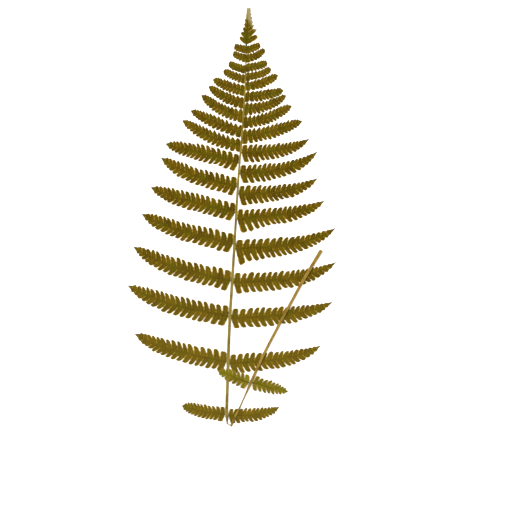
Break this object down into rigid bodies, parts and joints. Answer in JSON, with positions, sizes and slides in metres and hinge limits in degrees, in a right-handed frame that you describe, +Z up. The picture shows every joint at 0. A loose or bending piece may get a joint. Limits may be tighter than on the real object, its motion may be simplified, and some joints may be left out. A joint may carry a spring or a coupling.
{
  "type": "bracken frond",
  "caption": "Pressed fern frond lying flat: a straight midrib with paired, deeply lobed pinnae tapering to a point, and its lower stalk folded back over the blade.",
  "frame": {"origin": "bottom centre of the whole frond's bounding box, on the surface it lies on", "axes": "+Y along the midrib from the folded foot to the tip, +X to the right seen from above with the tip away, +Z up out of the surface"},
  "size_m": [0.208, 0.4188, 0.0055],
  "materials": {
    "leaf_olive": "dry leaf, olive brown and gold with greener patches, matte with a faint sheen",
    "leaf_green": "dry leaf, yellow green, matte with a faint sheen",
    "midrib_straw": "dry fern midrib, straw to olive, grooved, satin",
    "stalk_ochre": "dry fern stalk, ochre, fibrous, satin"
  },
  "bodies": {
    "root": {"midrib": "midrib_straw", "folded_stalk": "stalk_ochre", "pinna_left_01": "leaf_olive", "pinna_left_02": "leaf_olive", "pinna_left_03": "leaf_olive", "pinna_left_04": "leaf_olive", "pinna_left_05": "leaf_olive", "pinna_left_06": "leaf_olive", "pinna_left_07": "leaf_olive", "pinna_left_08": "leaf_olive", "pinna_left_09": "leaf_olive", "pinna_left_10": "leaf_olive", "pinna_left_11": "leaf_olive", "pinna_left_12": "leaf_olive", "pinna_left_13": "leaf_olive", "pinna_left_14": "leaf_olive", "pinna_left_15": "leaf_olive", "pinna_left_16": "leaf_olive", "pinna_left_17": "leaf_olive", "pinna_right_01": "leaf_olive", "pinna_right_02": "leaf_olive", "pinna_right_03": "leaf_olive", "pinna_right_04": "leaf_olive", "pinna_right_05": "leaf_olive", "pinna_right_06": "leaf_olive", "pinna_right_07": "leaf_olive", "pinna_right_08": "leaf_olive", "pinna_right_09": "leaf_olive", "pinna_right_10": "leaf_olive", "pinna_right_11": "leaf_olive", "pinna_right_12": "leaf_olive", "pinna_right_13": "leaf_olive", "pinna_right_14": "leaf_olive", "pinna_right_15": "leaf_olive", "pinna_right_16": "leaf_olive", "pinna_right_17": "leaf_olive", "pinna_right_18": "leaf_olive", "pinna_folded_left": "leaf_green", "pinna_folded_right": "leaf_green", "frond_tip": "leaf_olive"}
  },
  "joints": []
}
